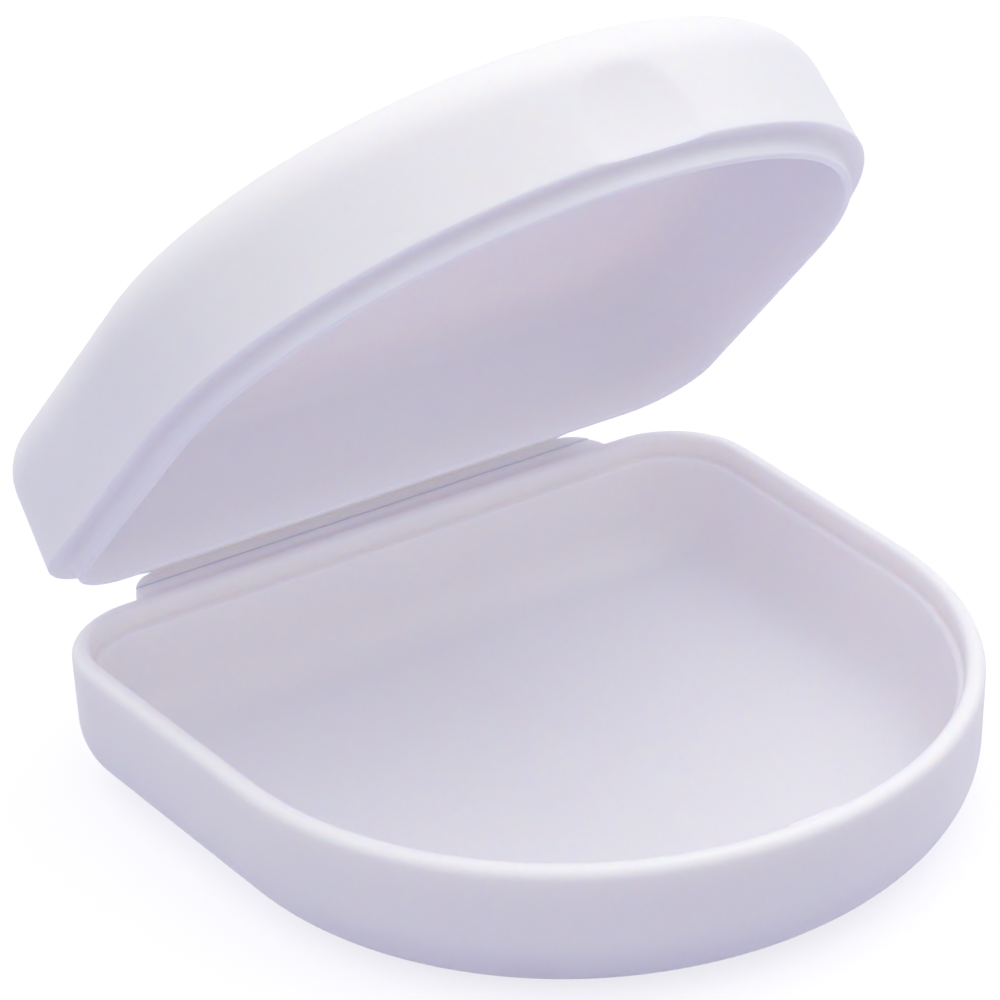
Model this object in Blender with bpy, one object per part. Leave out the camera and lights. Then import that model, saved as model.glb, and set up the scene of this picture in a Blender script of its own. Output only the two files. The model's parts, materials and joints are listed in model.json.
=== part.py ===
"""A denture box moulded in one piece and standing open: a D-shaped tray and a D-shaped lid of about the same
depth, joined along their straight rear walls by a living hinge. The lid's plug lip drops into a rebate inside
the tray's rim. Metres, +Z up. The origin is on the underside at the middle of the plan, the front is at -Y,
and the hinge runs along X behind the rear wall."""

import math

import bmesh
import bpy
from mathutils import Matrix

# Plan of both shells, measured on the outer edge of the rim
BOX_WIDTH = 0.0780
BOX_DEPTH = 0.0734
REAR_CORNER_RADIUS = 0.0097
CHEEK_RADIUS = 0.0377
NOSE_HALF_ANGLE_DEG = 22.0
SIDE_TAPER_DEG = 1.8
LEAST_CORNER_RADIUS = 0.0008

# Tray section
TRAY_HEIGHT = 0.0148
TRAY_DRAFT_DEG = 1.5
TRAY_FOOT_RADIUS = 0.0074
TRAY_FLOOR = 0.0018
TRAY_CORE_DRAFT_DEG = 2.0
TRAY_CORE_RADIUS = 0.0055
RIM_WIDTH = 0.0019
RIM_ROUND = 0.0005
REBATE_DEPTH = 0.0023
LEDGE_WIDTH = 0.0008
LEDGE_ROUND = 0.0002

# Lid section
LID_HEIGHT = 0.0143
LID_DRAFT_DEG = 2.5
LID_CROWN_RADIUS = 0.0059
LID_ROOF = 0.0018
LID_CORE_DRAFT_DEG = 2.5
LID_CORE_RADIUS = 0.0042
LAND_ROUND = 0.0003
LIP_THICKNESS = 0.0009
LIP_ROUND = 0.0003
LIP_SIDE_CLEARANCE = 0.0004
LIP_END_CLEARANCE = 0.0007

# Living hinge
PARTING_GAP = 0.0003
HINGE_REACH = 0.0035
HINGE_DROP = 0.0001
FLANGE_HALF_LENGTH = 0.0283
FLANGE_THICKNESS = 0.0012
FLANGE_END_RADIUS = 0.0044
FLANGE_ARC_SETBACK = 0.0007
FLANGE_ROOT = 0.0010
FLANGE_EDGE_ROUND = 0.0002
FLANGE_GAP = 0.0003
FLANGE_SETBACK = 0.0011
WEB_THICKNESS = 0.00035
WEB_END_GAP = 0.0003
WEB_HALF_LENGTH = 0.0250
LID_OPEN_DEG = 47.0

# Thumb scoop in the lid's front wall
SCOOP_CENTRE_HEIGHT = 0.0042
SCOOP_DEPTH = 0.0006
SCOOP_HALF_AXES = (0.0200, 0.0040, 0.0130)

# Latch rib under the tray's front rim, and the gate mark on its floor
LATCH_HALF_LENGTH = 0.0032
LATCH_PROUD = 0.00022
LATCH_TOP_DROP = 0.0006
LATCH_HEIGHT = 0.0007
GATE_PLACE = (0.0006, 0.0104)
GATE_RADIUS = 0.0009
GATE_PROUD = 0.0003
GATE_TOP_SHARE = 0.55

# Shares, counts and the angle above which an edge is shaded sharp
SHARP_ANGLE_DEG = 35.0
FILLET_LIMIT_SHARE = 0.8
NOSE_STEPS = 8
CHEEK_STEPS = 16
CORNER_STEPS = 8
FILLET_STEPS = 7
ROUND_STEPS = 3
EDGE_STEPS = 2
WEB_STEPS = 10
SCOOP_SEGMENTS = 96
SCOOP_RINGS = 48
GATE_SEGMENTS = 16

# One overrun for joined roots
OVERRUN = 0.0005

# The joint's axis and the levels that both shells share
HINGE_Y = BOX_DEPTH / 2 + HINGE_REACH
HINGE_Z = TRAY_HEIGHT - HINGE_DROP
LEDGE_Z = TRAY_HEIGHT - REBATE_DEPTH
LIP_INSET = RIM_WIDTH + LIP_SIDE_CLEARANCE
LIP_DEPTH = PARTING_GAP + REBATE_DEPTH - LIP_END_CLEARANCE
LID_TOP_Z = TRAY_HEIGHT + PARTING_GAP + LID_HEIGHT


def clear_scene():
    for old in list(bpy.data.objects):
        bpy.data.objects.remove(old, do_unlink=True)


def make_material(name, colour, roughness):
    material = bpy.data.materials.new(name)
    material.use_nodes = True
    shader = material.node_tree.nodes["Principled BSDF"]
    shader.inputs["Base Color"].default_value = (*colour, 1.0)
    shader.inputs["Roughness"].default_value = roughness
    shader.inputs["Metallic"].default_value = 0.0
    return material


def make_object(name, mesh_builder, material):
    mesh = bpy.data.meshes.new(name)
    bmesh.ops.recalc_face_normals(mesh_builder, faces=mesh_builder.faces)
    mesh_builder.to_mesh(mesh)
    mesh_builder.free()
    obj = bpy.data.objects.new(name, mesh)
    bpy.context.scene.collection.objects.link(obj)
    if material:
        mesh.materials.append(material)
    return obj


def join_or_cut(obj, tool, operation):
    """Adds a Boolean modifier, and hides its tool from the render."""
    tool.hide_render = True
    tool.display_type = "WIRE"
    modifier = obj.modifiers.new(tool.name, "BOOLEAN")
    modifier.operation = operation
    modifier.solver = "EXACT"
    modifier.object = tool


def shade(obj):
    obj.data.shade_smooth()
    obj.data.set_sharp_from_angle(angle=math.radians(SHARP_ANGLE_DEG))


def arc(centre, radius, start, end, steps):
    """Points on an arc from one angle to another, both included."""
    points = []
    for step in range(steps + 1):
        angle = start + (end - start) * step / steps
        points.append((centre[0] + radius * math.cos(angle), centre[1] + radius * math.sin(angle)))
    return points


def plan_ring(inset):
    """The D outline, drawn in by inset: flat rear, round corners, tapered sides, cheek arcs and a nose arc."""
    taper = -math.radians(SIDE_TAPER_DEG)
    nose = math.radians(NOSE_HALF_ANGLE_DEG)
    cheek_x = BOX_WIDTH / 2 - CHEEK_RADIUS
    spread = cheek_x / math.sin(nose)
    nose_radius = CHEEK_RADIUS + spread
    nose_y = nose_radius - BOX_DEPTH / 2
    cheek_y = nose_y - spread * math.cos(nose)
    side_reach = cheek_x * math.cos(taper) + cheek_y * math.sin(taper) + CHEEK_RADIUS - inset
    corner = max(REAR_CORNER_RADIUS - inset, LEAST_CORNER_RADIUS)
    corner_y = BOX_DEPTH / 2 - inset - corner
    corner_x = (side_reach - corner - corner_y * math.sin(taper)) / math.cos(taper)
    turn = nose - math.pi / 2
    half = arc((corner_x, corner_y), corner, math.pi / 2, taper, CORNER_STEPS)
    half += arc((cheek_x, cheek_y), CHEEK_RADIUS - inset, taper, turn, CHEEK_STEPS)
    half += arc((0.0, nose_y), nose_radius - inset, turn, -math.pi / 2, NOSE_STEPS)[1:]
    return half + [(-x, y) for x, y in reversed(half[:-1])]


def wall_and_fillet(top_inset, top_height, draft_deg, radius, base_height, steps):
    """Fillet from a flat at base_height up to a drafted wall that meets top_height at top_inset."""
    draft = math.radians(draft_deg)
    radius = min(radius, FILLET_LIMIT_SHARE * (top_height - base_height))
    centre_height = base_height + radius
    centre_inset = top_inset + (top_height - centre_height) * math.tan(draft) + radius / math.cos(draft)
    return arc((centre_inset, centre_height), radius, -math.pi / 2, draft - math.pi, steps)


def outer_edge_round(draft_deg, radius, height):
    """The round between the drafted outer wall and the flat rim."""
    draft = math.radians(draft_deg)
    centre = (radius * math.tan(draft) + radius / math.cos(draft), height - radius)
    return arc(centre, radius, math.pi + draft, math.pi / 2, ROUND_STEPS)


def tray_section():
    """Insets and heights of the tray's rings, from the underside over the rim to the floor."""
    ledge_inset = RIM_WIDTH + LEDGE_WIDTH
    rim_centre = (RIM_WIDTH - RIM_ROUND, TRAY_HEIGHT - RIM_ROUND)
    ledge_centre = (ledge_inset - LEDGE_ROUND, LEDGE_Z - LEDGE_ROUND)
    section = wall_and_fillet(0.0, TRAY_HEIGHT, TRAY_DRAFT_DEG, TRAY_FOOT_RADIUS, 0.0, FILLET_STEPS)
    section += outer_edge_round(TRAY_DRAFT_DEG, RIM_ROUND, TRAY_HEIGHT)
    section += arc(rim_centre, RIM_ROUND, math.pi / 2, 0.0, ROUND_STEPS)
    section.append((RIM_WIDTH, LEDGE_Z))
    section += arc(ledge_centre, LEDGE_ROUND, math.pi / 2, 0.0, ROUND_STEPS)
    core = wall_and_fillet(
        ledge_inset, LEDGE_Z, TRAY_CORE_DRAFT_DEG, TRAY_CORE_RADIUS, TRAY_FLOOR, FILLET_STEPS
    )
    return section + core[::-1]


def lid_section():
    """Insets and depths of the lid's rings, from its top over the land and the lip to the roof inside."""
    tip = LID_HEIGHT + LIP_DEPTH
    inner_inset = LIP_INSET + LIP_THICKNESS
    section = wall_and_fillet(0.0, LID_HEIGHT, LID_DRAFT_DEG, LID_CROWN_RADIUS, 0.0, FILLET_STEPS)
    section += outer_edge_round(LID_DRAFT_DEG, LAND_ROUND, LID_HEIGHT)
    section.append((LIP_INSET, LID_HEIGHT))
    section += arc((LIP_INSET + LIP_ROUND, tip - LIP_ROUND), LIP_ROUND, math.pi, math.pi / 2, ROUND_STEPS)
    section += arc((inner_inset - LIP_ROUND, tip - LIP_ROUND), LIP_ROUND, math.pi / 2, 0.0, ROUND_STEPS)
    core = wall_and_fillet(
        inner_inset, tip - LIP_ROUND, LID_CORE_DRAFT_DEG, LID_CORE_RADIUS, LID_ROOF, FILLET_STEPS
    )
    return section + core[::-1]


def loft_rings(levels):
    """A closed shell through D-shaped rings, each given by its inset and its place in Z."""
    builder = bmesh.new()
    rings = []
    for inset, z in levels:
        rings.append([builder.verts.new((x, y, z)) for x, y in plan_ring(inset)])
    for lower, upper in zip(rings, rings[1:]):
        for i in range(len(lower)):
            j = (i + 1) % len(lower)
            builder.faces.new((lower[i], lower[j], upper[j], upper[i]))
    builder.faces.new(rings[0])
    builder.faces.new(rings[-1])
    return builder


def flange_outline():
    """Plan of one hinge flange from its root in the rear wall to its rear edge, with round ends."""
    rear = HINGE_Y - FLANGE_SETBACK
    arc_y = BOX_DEPTH / 2 - FLANGE_ARC_SETBACK
    arc_x = FLANGE_HALF_LENGTH - FLANGE_END_RADIUS
    sweep = math.asin(min(1.0, (rear - arc_y) / FLANGE_END_RADIUS))
    root = BOX_DEPTH / 2 - FLANGE_ROOT
    right = [(FLANGE_HALF_LENGTH, root)]
    right += arc((arc_x, arc_y), FLANGE_END_RADIUS, 0.0, sweep, FILLET_STEPS)
    return right + [(-x, y) for x, y in reversed(right)]


def make_flange(name, low, high):
    """A flat flange between two heights, its edges eased."""
    builder = bmesh.new()
    bottom = [builder.verts.new((x, y, low)) for x, y in flange_outline()]
    top = [builder.verts.new((x, y, high)) for x, y in flange_outline()]
    builder.faces.new(bottom)
    builder.faces.new(top)
    for i in range(len(bottom)):
        j = (i + 1) % len(bottom)
        builder.faces.new((bottom[i], bottom[j], top[j], top[i]))
    flat_edges = [edge for edge in builder.edges if edge.verts[0].co.z == edge.verts[1].co.z]
    bmesh.ops.bevel(
        builder, geom=flat_edges, offset=FLANGE_EDGE_ROUND, segments=EDGE_STEPS, affect="EDGES", profile=0.5
    )
    return make_object(name, builder, None)


def make_latch_rib():
    """The short rib under the front rim that the lid's lip clicks past."""
    builder = bmesh.new()
    top = TRAY_HEIGHT - LATCH_TOP_DROP
    wall_y = -BOX_DEPTH / 2 + RIM_WIDTH
    inner = wall_y + LATCH_PROUD
    section = [
        (wall_y - OVERRUN, top - LATCH_HEIGHT),
        (wall_y, top - LATCH_HEIGHT),
        (inner, top - LATCH_HEIGHT / 2),
        (wall_y, top),
        (wall_y - OVERRUN, top),
    ]
    left = [builder.verts.new((-LATCH_HALF_LENGTH, y, z)) for y, z in section]
    right = [builder.verts.new((LATCH_HALF_LENGTH, y, z)) for y, z in section]
    builder.faces.new(left)
    builder.faces.new(right)
    for i in range(len(section)):
        j = (i + 1) % len(section)
        builder.faces.new((left[i], left[j], right[j], right[i]))
    return make_object("latch_rib_tool", builder, None)


def make_gate_mark():
    """The low pip that the moulding gate leaves on the tray's floor."""
    builder = bmesh.new()
    middle = TRAY_FLOOR + (GATE_PROUD - OVERRUN) / 2
    place = Matrix.Translation((*GATE_PLACE, middle))
    bmesh.ops.create_cone(
        builder,
        cap_ends=True,
        segments=GATE_SEGMENTS,
        radius1=GATE_RADIUS,
        radius2=GATE_RADIUS * GATE_TOP_SHARE,
        depth=GATE_PROUD + OVERRUN,
        matrix=place,
    )
    return make_object("gate_mark_tool", builder, None)


def make_scoop():
    """An ellipsoid whose near side dishes the lid's front wall, in the closed lid's place."""
    builder = bmesh.new()
    height = TRAY_HEIGHT + PARTING_GAP + SCOOP_CENTRE_HEIGHT
    wall_y = -BOX_DEPTH / 2 + SCOOP_CENTRE_HEIGHT * math.tan(math.radians(LID_DRAFT_DEG))
    place = Matrix.Translation((0.0, wall_y + SCOOP_DEPTH - SCOOP_HALF_AXES[1], height))
    bmesh.ops.create_uvsphere(
        builder,
        u_segments=SCOOP_SEGMENTS,
        v_segments=SCOOP_RINGS,
        radius=1.0,
        matrix=place @ Matrix.Diagonal((*SCOOP_HALF_AXES, 1.0)),
    )
    return make_object("scoop_tool", builder, None)


def make_tray(material):
    tray = make_object("base_tray", loft_rings(tray_section()), material)
    top = HINGE_Z - FLANGE_GAP / 2
    join_or_cut(tray, make_flange("tray_flange_tool", top - FLANGE_THICKNESS, top), "UNION")
    join_or_cut(tray, make_latch_rib(), "UNION")
    join_or_cut(tray, make_gate_mark(), "UNION")
    shade(tray)
    return tray


def make_lid(material):
    """The lid, modelled shut, with its origin moved to the hinge axis, then turned open."""
    levels = [(inset, LID_TOP_Z - depth) for inset, depth in lid_section()]
    lid = make_object("lid_shell", loft_rings(levels), material)
    bottom = HINGE_Z + FLANGE_GAP / 2
    flange = make_flange("lid_flange_tool", bottom, bottom + FLANGE_THICKNESS)
    scoop = make_scoop()
    to_axis = Matrix.Translation((0.0, -HINGE_Y, -HINGE_Z))
    for obj in (lid, flange, scoop):
        obj.data.transform(to_axis)
    flange.parent = lid
    scoop.parent = lid
    join_or_cut(lid, flange, "UNION")
    join_or_cut(lid, scoop, "DIFFERENCE")
    shade(lid)
    lid.location = (0.0, HINGE_Y, HINGE_Z)
    lid.rotation_euler = (-math.radians(LID_OPEN_DEG), 0.0, 0.0)
    return lid


def web_section():
    """The web's hairpin about the hinge axis: a leg along each flange and a bend round the back."""
    leg = FLANGE_SETBACK - WEB_END_GAP
    outer = FLANGE_GAP / 2 + WEB_THICKNESS
    inner = FLANGE_GAP / 2
    start = -math.pi / 2
    end = math.pi / 2 - math.radians(LID_OPEN_DEG)

    def lid_leg(height):
        turn = math.radians(LID_OPEN_DEG)
        return (-leg * math.cos(turn) + height * math.sin(turn), leg * math.sin(turn) + height * math.cos(turn))

    section = [(-leg, -outer)]
    section += arc((0.0, 0.0), outer, start, end, WEB_STEPS)
    section += [lid_leg(outer), lid_leg(inner)]
    section += arc((0.0, 0.0), inner, end, start, WEB_STEPS)
    section.append((-leg, -inner))
    return section


def make_web(material):
    """The thin strip that bends between the two flanges."""
    builder = bmesh.new()
    left = [builder.verts.new((-WEB_HALF_LENGTH, y, z)) for y, z in web_section()]
    right = [builder.verts.new((WEB_HALF_LENGTH, y, z)) for y, z in web_section()]
    builder.faces.new(left)
    builder.faces.new(right)
    for i in range(len(left)):
        j = (i + 1) % len(left)
        builder.faces.new((left[i], left[j], right[j], right[i]))
    web = make_object("hinge_web", builder, material)
    web.location = (0.0, HINGE_Y, HINGE_Z)
    shade(web)
    return web


def main():
    clear_scene()
    make_tray(make_material("tray_plastic", (0.78, 0.75, 0.82), 0.32))
    make_lid(make_material("lid_plastic", (0.78, 0.75, 0.82), 0.32))
    make_web(make_material("web_plastic", (0.80, 0.78, 0.84), 0.35))


main()
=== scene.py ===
"""The looks of the denture box: finely lofted shells of satin polypropylene, the bending hinge strip, the
pale stage, the soft lights and the camera of the photograph. Metres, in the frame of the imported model."""

import json
import math

import bmesh
import bpy
from mathutils import Matrix, Vector


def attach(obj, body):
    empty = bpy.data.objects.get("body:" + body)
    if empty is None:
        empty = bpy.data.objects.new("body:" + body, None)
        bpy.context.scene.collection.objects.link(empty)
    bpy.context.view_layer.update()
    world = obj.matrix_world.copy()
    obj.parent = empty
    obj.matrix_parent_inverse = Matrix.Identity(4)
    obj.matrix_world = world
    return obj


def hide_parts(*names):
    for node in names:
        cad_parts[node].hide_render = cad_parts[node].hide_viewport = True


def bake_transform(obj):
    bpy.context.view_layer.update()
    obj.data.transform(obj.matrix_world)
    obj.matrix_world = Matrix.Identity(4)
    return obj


# Plan of both shells, measured on the outer edge of the rim
BOX_WIDTH = 0.0780
BOX_DEPTH = 0.0734
REAR_CORNER_RADIUS = 0.0097
CHEEK_RADIUS = 0.0377
NOSE_HALF_ANGLE = math.radians(22.0)
SIDE_TAPER = math.radians(-1.8)
LEAST_CORNER_RADIUS = 0.0008

# Tray section
TRAY_HEIGHT = 0.0148
TRAY_DRAFT = math.radians(1.5)
TRAY_FOOT_RADIUS = 0.0074
TRAY_FLOOR = 0.0018
TRAY_CORE_DRAFT = math.radians(2.0)
TRAY_CORE_RADIUS = 0.0055
RIM_WIDTH = 0.0019
RIM_OUTER_ROUND = 0.0010
RIM_INNER_ROUND = 0.0006
REBATE_DEPTH = 0.0023
LEDGE_WIDTH = 0.0008
LEDGE_ROUND = 0.0004

# Lid section
LID_HEIGHT = 0.0143
LID_DRAFT = math.radians(2.5)
LID_CROWN_RADIUS = 0.0060
LID_ROOF = 0.0018
LID_CORE_DRAFT = math.radians(2.5)
LID_CORE_RADIUS = 0.0042
LAND_ROUND = 0.0003
HEEL_ROUND = 0.0010
LIP_THICKNESS = 0.0009
LIP_ROUND = 0.0003
LIP_SIDE_CLEARANCE = 0.0004
LIP_END_CLEARANCE = 0.0007

# Living hinge
PARTING_GAP = 0.0003
FLANGE_HALF_LENGTH = 0.0283
FLANGE_THICKNESS = 0.0012
FLANGE_END_RADIUS = 0.0044
FLANGE_ARC_SETBACK = 0.0007
FLANGE_ROOT = 0.0010
FLANGE_EDGE_ROUND = 0.00025
FLANGE_FILLET = 0.0008
FLANGE_GAP = 0.0003
FLANGE_SETBACK = 0.0011
WEB_THICKNESS = 0.00035
WEB_LAP = 0.0006
WEB_STAND = 0.00001
WEB_NECK_SHARE = 0.99

# Thumb scoop: a dish that is only sought low on the lid's wall and near its middle
SCOOP_HALF_WIDTH = 0.0059
SCOOP_SPAN = 2.0
SCOOP_HEIGHT_SHARE = 0.85
SCOOP_CENTRE_HEIGHT = 0.0042
SCOOP_DEPTH = 0.00055
SCOOP_CURVE_ACROSS = 5.0
SCOOP_CURVE_UP = 12.0
SCOOP_EDGE_ROUND = 0.0001

# Latch bead, and the gate mark with its rings as shares of its radius and of its rise above the floor
LATCH_HALF_LENGTH = 0.0030
LATCH_RADIUS = 0.00045
LATCH_PROUD = 0.00033
LATCH_DROP = 0.00050
GATE_PLACE = (0.0006, 0.0104)
GATE_RADIUS = 0.0008
GATE_PROUD = 0.00014
GATE_PROFILE = ((1.1, -2.0), (1.0, 0.0), (0.8, 0.18), (0.6, 0.5), (0.45, 0.8), (0.25, 0.97))

# How finely the meshes are divided
REAR_STEPS = 40
CORNER_STEPS = 18
SIDE_STEPS = 16
CHEEK_STEPS = 56
NOSE_STEPS = 48
FILLET_STEPS = 16
ROUND_STEPS = 6
WEB_STEPS = 24
GATE_STEPS = 40
WALL_STEP_LENGTH = LID_HEIGHT / 52
SHARP_ANGLE = math.radians(40.0)

# Plastic: its two mingled colours, how deep light scatters in it, and its uneven surface
SHELL_COLOUR = (0.95, 0.928, 0.972)
SHELL_TINT = (0.945, 0.921, 0.972)
SHELL_SCATTER = 0.0014
# The hinge strip's colours are paler than the shell's: painted light that lifts the shade in the crease of
# its bend
STRIP_PAINTED_LIGHTER_COLOUR = (0.985, 0.975, 0.99)
STRIP_PAINTED_LIGHTER_TINT = (0.98, 0.97, 0.99)
STRIP_SCATTER = 0.0003
SCATTER_SHARES = (1.0, 0.75, 0.55)
PLASTIC_IOR = 1.49
ROUGHNESS_LOW = 0.35
ROUGHNESS_HIGH = 0.46
GLOSS_NOISE_RANGE = (0.3, 0.7)
PEEL_STRENGTH = 0.12
PEEL_HEIGHT = 0.00015
GRAIN_STRENGTH = 0.10
GRAIN_HEIGHT = 0.00002

# Noise textures, each as its scale, detail and roughness
CLOUD_NOISE = (55.0, 3.0, 0.55)
GLOSS_NOISE = (180.0, 4.0, 0.6)
PEEL_NOISE = (420.0, 2.0, 0.5)
GRAIN_NOISE = (5200.0, 2.0, 0.6)

# The floor: what it gives back to the box, and what the camera sees
FLOOR_HALF_SIZE = 3.0
FLOOR_DROP = 0.0001
FLOOR_BOUNCE = (0.54, 0.535, 0.74)
FLOOR_SHOWN = (0.33, 0.33, 0.34)
FLOOR_LIFT = 0.73
WHITE = (1.0, 1.0, 1.0, 1.0)

# The surroundings, and the softboxes as name, compass direction, elevation, watts and colour
WORLD_COLOUR = (0.94, 0.94, 1.0)
WORLD_STRENGTH = 0.66
LIGHT_BOUNCES = 12
LAMP_SIZE = 1.1
LAMP_DISTANCE = 1.2
LAMP_WHITE = (1.0, 0.995, 0.98)
LAMP_COOL_WHITE = (1.0, 0.995, 1.0)
LAMPS = (
    ("key", math.radians(90.0), math.radians(50.0), 3.4, LAMP_WHITE),
    ("left_fill", math.radians(-90.0), math.radians(50.0), 1.15, LAMP_COOL_WHITE),
    ("back", math.radians(180.0), math.radians(55.0), 1.4, LAMP_WHITE),
    ("top", math.radians(0.0), math.radians(88.0), 1.6, LAMP_WHITE),
    ("front", math.radians(-45.0), math.radians(68.0), 0.7, LAMP_WHITE),
)

# The camera of the photograph: where it stands, its distance from the point it swings about, and its lens
CAMERA_AZIMUTH = math.radians(-33.581)
CAMERA_ELEVATION = math.radians(27.508)
CAMERA_ROLL = math.radians(-1.553)
CAMERA_DISTANCE = 0.37660
CAMERA_SLIDE = (-0.008171, 0.010512)
CAMERA_AIM_HEIGHT = 0.020
CAMERA_LENS_MM = 142.99
SENSOR_MM = 36.0
NEAR_CLIP = CAMERA_DISTANCE / 20
FAR_CLIP = FLOOR_HALF_SIZE * 4

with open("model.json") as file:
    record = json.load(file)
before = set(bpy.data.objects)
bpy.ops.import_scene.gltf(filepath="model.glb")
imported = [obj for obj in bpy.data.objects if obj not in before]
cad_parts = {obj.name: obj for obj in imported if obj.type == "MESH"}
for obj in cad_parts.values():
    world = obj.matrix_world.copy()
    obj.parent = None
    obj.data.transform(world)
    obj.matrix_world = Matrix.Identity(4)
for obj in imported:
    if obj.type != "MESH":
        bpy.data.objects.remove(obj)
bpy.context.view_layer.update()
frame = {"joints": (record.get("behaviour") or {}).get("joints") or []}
HINGE = frame["joints"][0]
HINGE_POINT = Vector(HINGE["pos_m"])
LID_OPEN = -math.radians(HINGE["range_deg"][0])
LIP_INSET = RIM_WIDTH + LIP_SIDE_CLEARANCE
LIP_DEPTH = PARTING_GAP + REBATE_DEPTH - LIP_END_CLEARANCE
LEDGE_HEIGHT = TRAY_HEIGHT - REBATE_DEPTH


def arc(centre, radius, start, end, steps):
    """Points on an arc from one angle to another, both included."""
    points = []
    for step in range(steps + 1):
        angle = start + (end - start) * step / steps
        points.append((centre[0] + radius * math.cos(angle), centre[1] + radius * math.sin(angle)))
    return points


def line(start, end, steps):
    """Points strictly between two ends."""
    return [
        tuple(a + (b - a) * step / steps for a, b in zip(start, end)) for step in range(1, steps)
    ]


def plan_ring(inset):
    """The D outline drawn in by inset, from the middle of the rear round the right side and back."""
    cheek_x = BOX_WIDTH / 2 - CHEEK_RADIUS
    spread = cheek_x / math.sin(NOSE_HALF_ANGLE)
    nose_radius = CHEEK_RADIUS + spread
    nose_y = nose_radius - BOX_DEPTH / 2
    cheek_y = nose_y - spread * math.cos(NOSE_HALF_ANGLE)
    side_reach = cheek_x * math.cos(SIDE_TAPER) + cheek_y * math.sin(SIDE_TAPER) + CHEEK_RADIUS - inset
    corner = max(REAR_CORNER_RADIUS - inset, LEAST_CORNER_RADIUS)
    corner_y = BOX_DEPTH / 2 - inset - corner
    corner_x = (side_reach - corner - corner_y * math.sin(SIDE_TAPER)) / math.cos(SIDE_TAPER)
    turn = NOSE_HALF_ANGLE - math.pi / 2
    corner_arc = arc((corner_x, corner_y), corner, math.pi / 2, SIDE_TAPER, CORNER_STEPS)
    cheek_arc = arc((cheek_x, cheek_y), CHEEK_RADIUS - inset, SIDE_TAPER, turn, CHEEK_STEPS)
    nose_arc = arc((0.0, nose_y), nose_radius - inset, turn, -math.pi / 2, NOSE_STEPS)
    rear_middle = (0.0, BOX_DEPTH / 2 - inset)
    half = [rear_middle] + line(rear_middle, corner_arc[0], REAR_STEPS) + corner_arc
    half += line(corner_arc[-1], cheek_arc[0], SIDE_STEPS) + cheek_arc + nose_arc[1:]
    return half + [(-x, y) for x, y in reversed(half[1:-1])]


def wall_and_fillet(top_inset, top_height, draft, radius, base_height):
    """Fillet from a flat at base_height up to a drafted wall that meets top_height at top_inset."""
    centre_height = base_height + radius
    centre_inset = top_inset + (top_height - centre_height) * math.tan(draft) + radius / math.cos(draft)
    return arc((centre_inset, centre_height), radius, -math.pi / 2, draft - math.pi, FILLET_STEPS)


def outer_edge_round(draft, radius, height):
    """The round between the drafted outer wall and the flat rim."""
    centre = (radius * math.tan(draft) + radius / math.cos(draft), height - radius)
    return arc(centre, radius, math.pi + draft, math.pi / 2, ROUND_STEPS)


def joined(*runs):
    """Section runs one after the other, each straight stretch between two runs divided evenly."""
    section = list(runs[0])
    for run in runs[1:]:
        length = math.dist(section[-1], run[0])
        steps = max(1, round(length / WALL_STEP_LENGTH))
        section += line(section[-1], run[0], steps)
        section += run
    return section


def tray_section():
    """Insets and heights of the tray's rings, from the underside over the rim to the floor."""
    ledge_inset = RIM_WIDTH + LEDGE_WIDTH
    rim_centre = (RIM_WIDTH - RIM_INNER_ROUND, TRAY_HEIGHT - RIM_INNER_ROUND)
    heel_centre = (RIM_WIDTH + LEDGE_ROUND, LEDGE_HEIGHT + LEDGE_ROUND)
    ledge_centre = (ledge_inset - LEDGE_ROUND, LEDGE_HEIGHT - LEDGE_ROUND)
    return joined(
        wall_and_fillet(0.0, TRAY_HEIGHT, TRAY_DRAFT, TRAY_FOOT_RADIUS, 0.0),
        outer_edge_round(TRAY_DRAFT, RIM_OUTER_ROUND, TRAY_HEIGHT),
        arc(rim_centre, RIM_INNER_ROUND, math.pi / 2, 0.0, ROUND_STEPS),
        arc(heel_centre, LEDGE_ROUND, math.pi, 1.5 * math.pi, ROUND_STEPS),
        arc(ledge_centre, LEDGE_ROUND, math.pi / 2, 0.0, ROUND_STEPS),
        wall_and_fillet(ledge_inset, LEDGE_HEIGHT, TRAY_CORE_DRAFT, TRAY_CORE_RADIUS, TRAY_FLOOR)[::-1],
    )


def lid_section():
    """Insets and depths of the lid's rings, from its top over the land and the lip to the roof inside."""
    tip = LID_HEIGHT + LIP_DEPTH
    inner_inset = LIP_INSET + LIP_THICKNESS
    heel_centre = (LIP_INSET - HEEL_ROUND, LID_HEIGHT + HEEL_ROUND)
    return joined(
        wall_and_fillet(0.0, LID_HEIGHT, LID_DRAFT, LID_CROWN_RADIUS, 0.0),
        outer_edge_round(LID_DRAFT, LAND_ROUND, LID_HEIGHT),
        arc(heel_centre, HEEL_ROUND, -math.pi / 2, 0.0, ROUND_STEPS),
        arc((LIP_INSET + LIP_ROUND, tip - LIP_ROUND), LIP_ROUND, math.pi, math.pi / 2, ROUND_STEPS),
        arc((inner_inset - LIP_ROUND, tip - LIP_ROUND), LIP_ROUND, math.pi / 2, 0.0, ROUND_STEPS),
        wall_and_fillet(inner_inset, tip - LIP_ROUND, LID_CORE_DRAFT, LID_CORE_RADIUS, LID_ROOF)[::-1],
    )


def loft_rings(levels, shape=lambda x, y, z, inset: (x, y, z)):
    """A closed shell through D-shaped rings. shape may move each point, given with its inset."""
    builder = bmesh.new()
    rings = []
    for inset, z in levels:
        rings.append([builder.verts.new(shape(x, y, z, inset)) for x, y in plan_ring(inset)])
    skin(builder, rings)
    return builder


def skin(builder, rings):
    """Walls between closed rings of equal count, and a cap on the first and the last."""
    for lower, upper in zip(rings, rings[1:]):
        for i in range(len(lower)):
            j = (i + 1) % len(lower)
            builder.faces.new((lower[i], lower[j], upper[j], upper[i]))
    builder.faces.new(rings[0])
    builder.faces.new(rings[-1])


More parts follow.
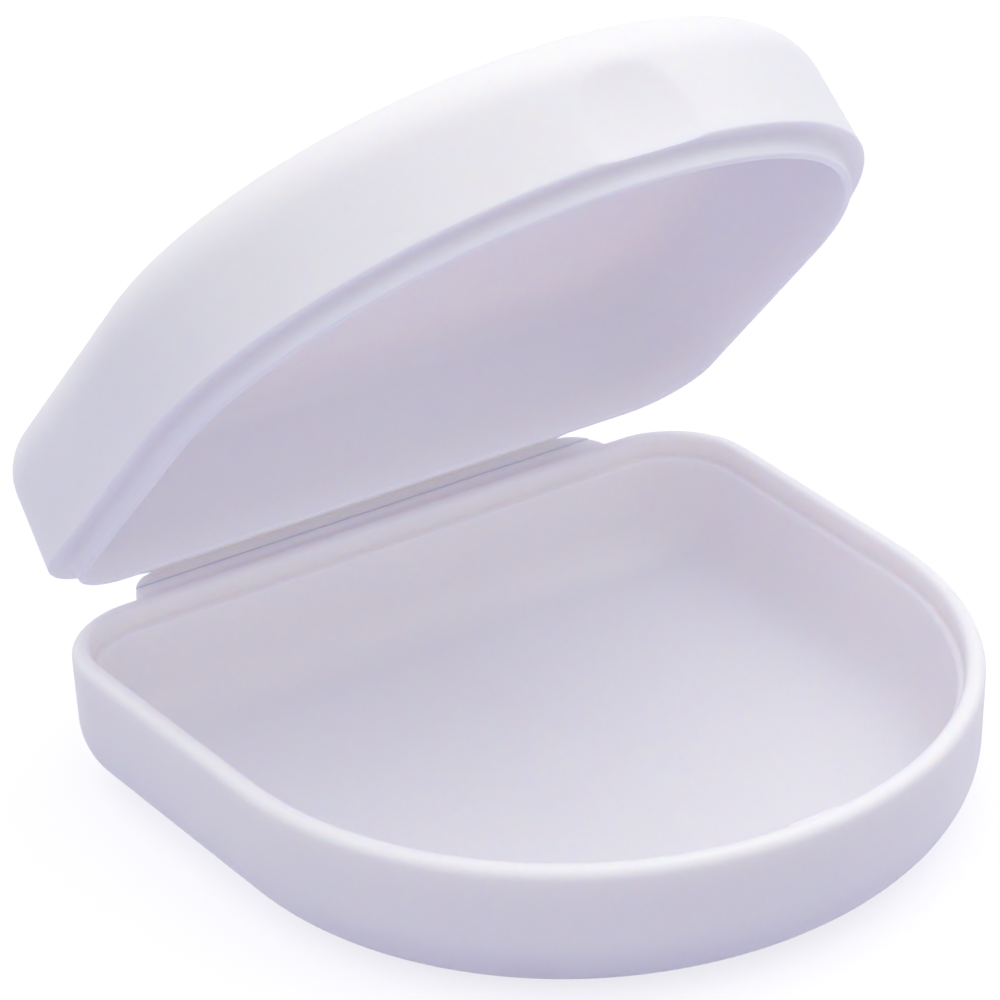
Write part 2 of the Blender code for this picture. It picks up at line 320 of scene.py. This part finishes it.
def make_piece(name, builder):
    """A smoothly shaded object from a builder, which it uses up, with its faces turned outwards."""
    bmesh.ops.recalc_face_normals(builder, faces=builder.faces)
    mesh = bpy.data.meshes.new(name)
    builder.to_mesh(mesh)
    builder.free()
    mesh.shade_smooth()
    piece = bpy.data.objects.new(name, mesh)
    bpy.context.scene.collection.objects.link(piece)
    return piece


def soft_max(first, second, softness):
    """The larger of two values, with the change from one to the other rounded over softness."""
    gap = first - second
    rounded = 0.5 * (first + second + math.sqrt(gap * gap + softness * softness))
    return rounded - softness / 2 * math.exp(-abs(gap) / softness)


def with_scoop(x, y, z, inset):
    """Dishes the lid's front wall for a thumb. z is the height in the shut box."""
    above_rim = z - TRAY_HEIGHT - PARTING_GAP
    on_outside = above_rim >= -LAND_ROUND and inset <= LIP_INSET / 2 + LID_CROWN_RADIUS
    on_low_front = y <= 0.0 and above_rim <= LID_HEIGHT * SCOOP_HEIGHT_SHARE
    if not (on_outside and on_low_front) or abs(x) > SCOOP_SPAN * SCOOP_HALF_WIDTH:
        return (x, y, z)
    rise = above_rim - SCOOP_CENTRE_HEIGHT
    dish = -BOX_DEPTH / 2 + SCOOP_CENTRE_HEIGHT * math.tan(LID_DRAFT) + SCOOP_DEPTH
    dish -= SCOOP_CURVE_ACROSS * x * x + SCOOP_CURVE_UP * rise * rise
    return (x, soft_max(y, dish, SCOOP_EDGE_ROUND), z)


def flange_ring(inset):
    """Plan of a hinge flange, drawn in by inset from its round ends and its rear edge."""
    rear = HINGE_POINT.y - FLANGE_SETBACK - inset
    arc_y = BOX_DEPTH / 2 - FLANGE_ARC_SETBACK
    arc_x = FLANGE_HALF_LENGTH - FLANGE_END_RADIUS
    radius = FLANGE_END_RADIUS - inset
    sweep = math.asin((rear - arc_y) / radius)
    root = BOX_DEPTH / 2 - FLANGE_ROOT
    right = [(arc_x + radius, root)] + arc((arc_x, arc_y), radius, 0.0, sweep, FILLET_STEPS)
    return right + [(-x, y) for x, y in reversed(right)]


def make_flange(name, joint_face, away):
    """A flange whose flat joint_face lies towards the other shell. Its far side fillets into the wall."""
    reach = HINGE_POINT.y - FLANGE_SETBACK - BOX_DEPTH / 2
    edge = FLANGE_EDGE_ROUND
    levels = arc((edge, edge), edge, -math.pi / 2, -math.pi, ROUND_STEPS)
    levels += arc((edge, FLANGE_THICKNESS - edge), edge, math.pi, math.pi / 2, ROUND_STEPS)
    fillet_centre = (reach - FLANGE_FILLET, FLANGE_THICKNESS + FLANGE_FILLET)
    levels += arc(fillet_centre, FLANGE_FILLET, -math.pi / 2, 0.0, ROUND_STEPS)
    builder = bmesh.new()
    rings = []
    for inset, depth in levels:
        z = joint_face + away * depth
        rings.append([builder.verts.new((x, y, z)) for x, y in flange_ring(inset)])
    skin(builder, rings)
    return make_piece(name, builder)


def unite(shell, addition):
    """Joins a closed mesh to a shell for good, and removes it."""
    modifier = shell.modifiers.new("union", "BOOLEAN")
    modifier.operation = "UNION"
    modifier.solver = "EXACT"
    modifier.object = addition
    graph = bpy.context.evaluated_depsgraph_get()
    united = bpy.data.meshes.new_from_object(shell.evaluated_get(graph))
    shell.modifiers.clear()
    shell.data = united
    bpy.data.objects.remove(addition, do_unlink=True)
    united.shade_smooth()
    united.set_sharp_from_angle(angle=SHARP_ANGLE)


def make_latch_bead():
    """The round-ended bead inside the front rim that the lid's lip snaps behind."""
    wall_y = RIM_WIDTH - BOX_DEPTH / 2
    centre = Vector((0.0, wall_y + LATCH_PROUD - LATCH_RADIUS, TRAY_HEIGHT - LATCH_DROP))
    straight = LATCH_HALF_LENGTH - LATCH_RADIUS
    quarter = math.pi / 2
    left_turns = [-quarter + quarter * step / ROUND_STEPS for step in range(1, ROUND_STEPS + 1)]
    right_turns = [quarter * step / ROUND_STEPS for step in range(ROUND_STEPS)]
    builder = bmesh.new()
    rings = []
    for end_x, turns in ((-straight, left_turns), (straight, right_turns)):
        for turn in turns:
            radius = LATCH_RADIUS * math.cos(turn)
            x = end_x + LATCH_RADIUS * math.sin(turn)
            circle = arc((centre.y, centre.z), radius, 0.0, math.tau, 4 * ROUND_STEPS)[:-1]
            rings.append([builder.verts.new((x, y, z)) for y, z in circle])
    skin(builder, rings)
    return make_piece("latch_bead", builder)


def make_gate_mark():
    """The low pip that the moulding gate leaves on the tray's floor."""
    builder = bmesh.new()
    rings = []
    for radius_share, rise_share in GATE_PROFILE:
        circle = arc(GATE_PLACE, GATE_RADIUS * radius_share, 0.0, math.tau, GATE_STEPS)[:-1]
        z = TRAY_FLOOR + GATE_PROUD * rise_share
        rings.append([builder.verts.new((x, y, z)) for x, y in circle])
    skin(builder, rings)
    return make_piece("gate_mark", builder)


def make_tray():
    """The lower shell with its hinge flange, latch bead and gate mark, in one mesh."""
    tray = make_piece("tray_moulding", loft_rings(tray_section()))
    unite(tray, make_flange("tray_flange", HINGE_POINT.z - FLANGE_GAP / 2, -1.0))
    unite(tray, make_latch_bead())
    unite(tray, make_gate_mark())
    return tray


def make_lid():
    """The lid, made shut and then turned open about the hinge."""
    top = TRAY_HEIGHT + PARTING_GAP + LID_HEIGHT
    levels = [(inset, top - depth) for inset, depth in lid_section()]
    lid = make_piece("lid_moulding", loft_rings(levels, with_scoop))
    unite(lid, make_flange("lid_flange", HINGE_POINT.z + FLANGE_GAP / 2, 1.0))
    to_axis = Matrix.Translation(HINGE_POINT)
    lid.data.transform(to_axis @ Matrix.Rotation(-LID_OPEN, 4, "X") @ to_axis.inverted())
    return lid


def web_section():
    """The strip's hairpin about the hinge axis, from the tray to the lid. Each place has its distance from
    the bend, and its outer and its inner point in y and z."""
    leg = FLANGE_SETBACK + WEB_LAP
    inner = FLANGE_GAP / 2 - WEB_STAND
    outer = FLANGE_GAP / 2 + WEB_THICKNESS
    start = -math.pi / 2
    end = math.pi / 2 - LID_OPEN
    half_arc = (inner + outer) / 2 * (end - start) / 2
    places = []
    for step in range(WEB_STEPS):
        back = leg * (1 - step / WEB_STEPS)
        places.append((half_arc + back, (-back, -outer), (-back, -inner)))
    for step in range(WEB_STEPS + 1):
        share = step / WEB_STEPS
        angle = start + (end - start) * share
        way = (math.cos(angle), math.sin(angle))
        outside, inside = ([radius * c for c in way] for radius in (outer, inner))
        places.append((half_arc * abs(2 * share - 1), outside, inside))
    along = (-math.cos(LID_OPEN), math.sin(LID_OPEN))
    upward = (math.sin(LID_OPEN), math.cos(LID_OPEN))
    for step in range(1, WEB_STEPS + 1):
        back = leg * step / WEB_STEPS
        outside = [back * a + outer * u for a, u in zip(along, upward)]
        inside = [back * a + inner * u for a, u in zip(along, upward)]
        places.append((half_arc + back, outside, inside))
    return places


def web_half_length(distance):
    """Half the strip's length at a distance from its bend: the flange's round ends carried on to a neck."""
    leg = FLANGE_SETBACK + FLANGE_GAP
    corner_across = HINGE_POINT.y - FLANGE_SETBACK - BOX_DEPTH / 2 + FLANGE_ARC_SETBACK
    neck_across = FLANGE_END_RADIUS * WEB_NECK_SHARE
    across = neck_across + (corner_across - neck_across) * distance / leg
    return FLANGE_HALF_LENGTH - FLANGE_END_RADIUS + math.sqrt(FLANGE_END_RADIUS**2 - across**2)


def make_web():
    """The thin strip that bends between the two flanges, its ends drawn in towards the bend."""
    builder = bmesh.new()
    rings = []
    for distance, outside, inside in web_section():
        half = web_half_length(distance)
        corners = [(-half, *outside), (half, *outside), (half, *inside), (-half, *inside)]
        rings.append([builder.verts.new(HINGE_POINT + Vector(corner)) for corner in corners])
    skin(builder, rings)
    web = make_piece("hinge_strip", builder)
    web.data.set_sharp_from_angle(angle=SHARP_ANGLE)
    return web


def add_node(tree, kind, **settings):
    """A node with some of its properties and, where it has none of that name, its inputs set."""
    node = tree.nodes.new(kind)
    for name, value in settings.items():
        if hasattr(node, name):
            setattr(node, name, value)
        else:
            node.inputs[name.replace("_", " ")].default_value = value
    return node


def add_noise(tree, noise):
    """A noise texture from its scale, detail and roughness."""
    scale, detail, roughness = noise
    return add_node(tree, "ShaderNodeTexNoise", Scale=scale, Detail=detail, Roughness=roughness)


def moulded_plastic(name, colour, tint, reach):
    """Satin polypropylene: faint cloudy colour, uneven gloss, a soft orange-peel and a fine moulded grain."""
    material = bpy.data.materials.new(name)
    material.use_nodes = True
    tree = material.node_tree
    shader = tree.nodes["Principled BSDF"]
    shader.inputs["IOR"].default_value = PLASTIC_IOR
    shader.inputs["Subsurface Weight"].default_value = 1.0
    shader.inputs["Subsurface Radius"].default_value = SCATTER_SHARES
    shader.inputs["Subsurface Scale"].default_value = reach
    place = add_node(tree, "ShaderNodeTexCoord")
    cloud = add_noise(tree, CLOUD_NOISE)
    mix = add_node(tree, "ShaderNodeMix", data_type="RGBA")
    mix.inputs[6].default_value = (*colour, 1.0)
    mix.inputs[7].default_value = (*tint, 1.0)
    patches = add_noise(tree, GLOSS_NOISE)
    gloss = add_node(tree, "ShaderNodeMapRange", From_Min=GLOSS_NOISE_RANGE[0], From_Max=GLOSS_NOISE_RANGE[1])
    gloss.inputs["To Min"].default_value = ROUGHNESS_LOW
    gloss.inputs["To Max"].default_value = ROUGHNESS_HIGH
    peel = add_noise(tree, PEEL_NOISE)
    peel_bump = add_node(tree, "ShaderNodeBump", Strength=PEEL_STRENGTH, Distance=PEEL_HEIGHT)
    grain = add_noise(tree, GRAIN_NOISE)
    grain_bump = add_node(tree, "ShaderNodeBump", Strength=GRAIN_STRENGTH, Distance=GRAIN_HEIGHT)
    link = tree.links.new
    for texture in (cloud, patches, peel, grain):
        link(place.outputs["Object"], texture.inputs["Vector"])
    link(cloud.outputs["Fac"], mix.inputs[0])
    link(mix.outputs[2], shader.inputs["Base Color"])
    link(patches.outputs["Fac"], gloss.inputs["Value"])
    link(gloss.outputs["Result"], shader.inputs["Roughness"])
    link(peel.outputs["Fac"], peel_bump.inputs["Height"])
    link(grain.outputs["Fac"], grain_bump.inputs["Height"])
    link(peel_bump.outputs["Normal"], grain_bump.inputs["Normal"])
    link(grain_bump.outputs["Normal"], shader.inputs["Normal"])
    return material


def seen_directly(tree):
    """A value that is 1 for camera, glossy and transmission rays, and 0 for the rest."""
    path = add_node(tree, "ShaderNodeLightPath")
    first = add_node(tree, "ShaderNodeMath", operation="MAXIMUM")
    second = add_node(tree, "ShaderNodeMath", operation="MAXIMUM")
    tree.links.new(path.outputs["Is Camera Ray"], first.inputs[0])
    tree.links.new(path.outputs["Is Glossy Ray"], first.inputs[1])
    tree.links.new(first.outputs[0], second.inputs[0])
    tree.links.new(path.outputs["Is Transmission Ray"], second.inputs[1])
    return second.outputs[0]


def make_floor():
    """A pale floor that shows white where it is unshaded, and keeps the box's shadow."""
    builder = bmesh.new()
    bmesh.ops.create_grid(builder, x_segments=1, y_segments=1, size=FLOOR_HALF_SIZE)
    floor = make_piece("floor", builder)
    floor.location.z = -FLOOR_DROP
    material = bpy.data.materials.new("floor_white")
    material.use_nodes = True
    tree = material.node_tree
    tree.nodes.remove(tree.nodes["Principled BSDF"])
    output = tree.nodes["Material Output"]
    bounce = add_node(tree, "ShaderNodeBsdfDiffuse", Color=(*FLOOR_BOUNCE, 1.0))
    shown = add_node(tree, "ShaderNodeBsdfDiffuse", Color=(*FLOOR_SHOWN, 1.0))
    lift = add_node(tree, "ShaderNodeEmission", Color=WHITE, Strength=FLOOR_LIFT)
    lit = add_node(tree, "ShaderNodeAddShader")
    choice = add_node(tree, "ShaderNodeMixShader")
    link = tree.links.new
    link(shown.outputs[0], lit.inputs[0])
    link(lift.outputs[0], lit.inputs[1])
    link(seen_directly(tree), choice.inputs[0])
    link(bounce.outputs[0], choice.inputs[1])
    link(lit.outputs[0], choice.inputs[2])
    link(choice.outputs[0], output.inputs["Surface"])
    floor.data.materials.append(material)


def make_world():
    """Soft light from all round, and plain white where it is seen."""
    world = bpy.data.worlds.new("studio")
    bpy.context.scene.world = world
    world.use_nodes = True
    tree = world.node_tree
    background = tree.nodes["Background"]
    mix = add_node(tree, "ShaderNodeMix", data_type="RGBA")
    mix.inputs[6].default_value = (*[c * WORLD_STRENGTH for c in WORLD_COLOUR], 1.0)
    mix.inputs[7].default_value = WHITE
    tree.links.new(seen_directly(tree), mix.inputs[0])
    tree.links.new(mix.outputs[2], background.inputs["Color"])


def direction(azimuth, elevation):
    """The way from the box to a compass direction, 0 being the front and a quarter turn the right."""
    return Vector(
        (
            math.sin(azimuth) * math.cos(elevation),
            -math.cos(azimuth) * math.cos(elevation),
            math.sin(elevation),
        )
    )


def make_lamp(name, azimuth, elevation, watts, colour):
    """A square softbox aimed at the box."""
    data = bpy.data.lights.new(name, "AREA")
    data.shape = "SQUARE"
    data.size = LAMP_SIZE
    data.energy = watts
    data.color = colour
    lamp = bpy.data.objects.new(name, data)
    towards = direction(azimuth, elevation)
    lamp.location = Vector((0.0, 0.0, TRAY_HEIGHT)) + towards * LAMP_DISTANCE
    lamp.rotation_mode = "QUATERNION"
    lamp.rotation_quaternion = (-towards).to_track_quat("-Z", "Y")
    bpy.context.scene.collection.objects.link(lamp)


def make_camera():
    """The camera of the photograph."""
    forward = -direction(CAMERA_AZIMUTH, CAMERA_ELEVATION)
    level = forward.cross(Vector((0.0, 0.0, 1.0))).normalized()
    upright = level.cross(forward)
    right = math.cos(CAMERA_ROLL) * level + math.sin(CAMERA_ROLL) * upright
    up = math.cos(CAMERA_ROLL) * upright - math.sin(CAMERA_ROLL) * level
    data = bpy.data.cameras.new("photo_camera")
    data.sensor_width = SENSOR_MM
    data.lens = CAMERA_LENS_MM
    data.clip_start = NEAR_CLIP
    data.clip_end = FAR_CLIP
    camera = bpy.data.objects.new("photo_camera", data)
    aim = Vector((0.0, 0.0, CAMERA_AIM_HEIGHT))
    camera.location = aim - forward * CAMERA_DISTANCE + right * CAMERA_SLIDE[0] + up * CAMERA_SLIDE[1]
    camera.rotation_mode = "QUATERNION"
    camera.rotation_quaternion = Matrix((right, up, -forward)).transposed().to_quaternion()
    bpy.context.scene.collection.objects.link(camera)
    bpy.context.scene.camera = camera


def dress():
    """The three pieces, their plastic, and the bodies that they move with."""
    shell_plastic = moulded_plastic("satin_polypropylene", SHELL_COLOUR, SHELL_TINT, SHELL_SCATTER)
    # The strip's paler plastic is painted light against the shade in the hinge's crease
    strip_painted_lighter_plastic = moulded_plastic("strip_polypropylene_painted_lighter", STRIP_PAINTED_LIGHTER_COLOUR, STRIP_PAINTED_LIGHTER_TINT, STRIP_SCATTER)
    tray = make_tray()
    lid = make_lid()
    web = make_web()
    for piece, plastic in ((tray, shell_plastic), (lid, shell_plastic), (web, strip_painted_lighter_plastic)):
        piece.data.materials.clear()
        piece.data.materials.append(plastic)
    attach(tray, "tray")
    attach(lid, "lid")
    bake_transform(web)
    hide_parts("base_tray")
    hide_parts("lid_shell")
    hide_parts("hinge_web")


def set_the_stage():
    """The floor, the surroundings, the lamps and the camera. The many bounces light the deep white shells."""
    make_floor()
    make_world()
    for lamp in LAMPS:
        make_lamp(*lamp)
    make_camera()
    bpy.context.scene.view_settings.view_transform = "Standard"
    bpy.context.scene.cycles.diffuse_bounces = LIGHT_BOUNCES
    bpy.context.scene.cycles.max_bounces = LIGHT_BOUNCES


dress()
set_the_stage()
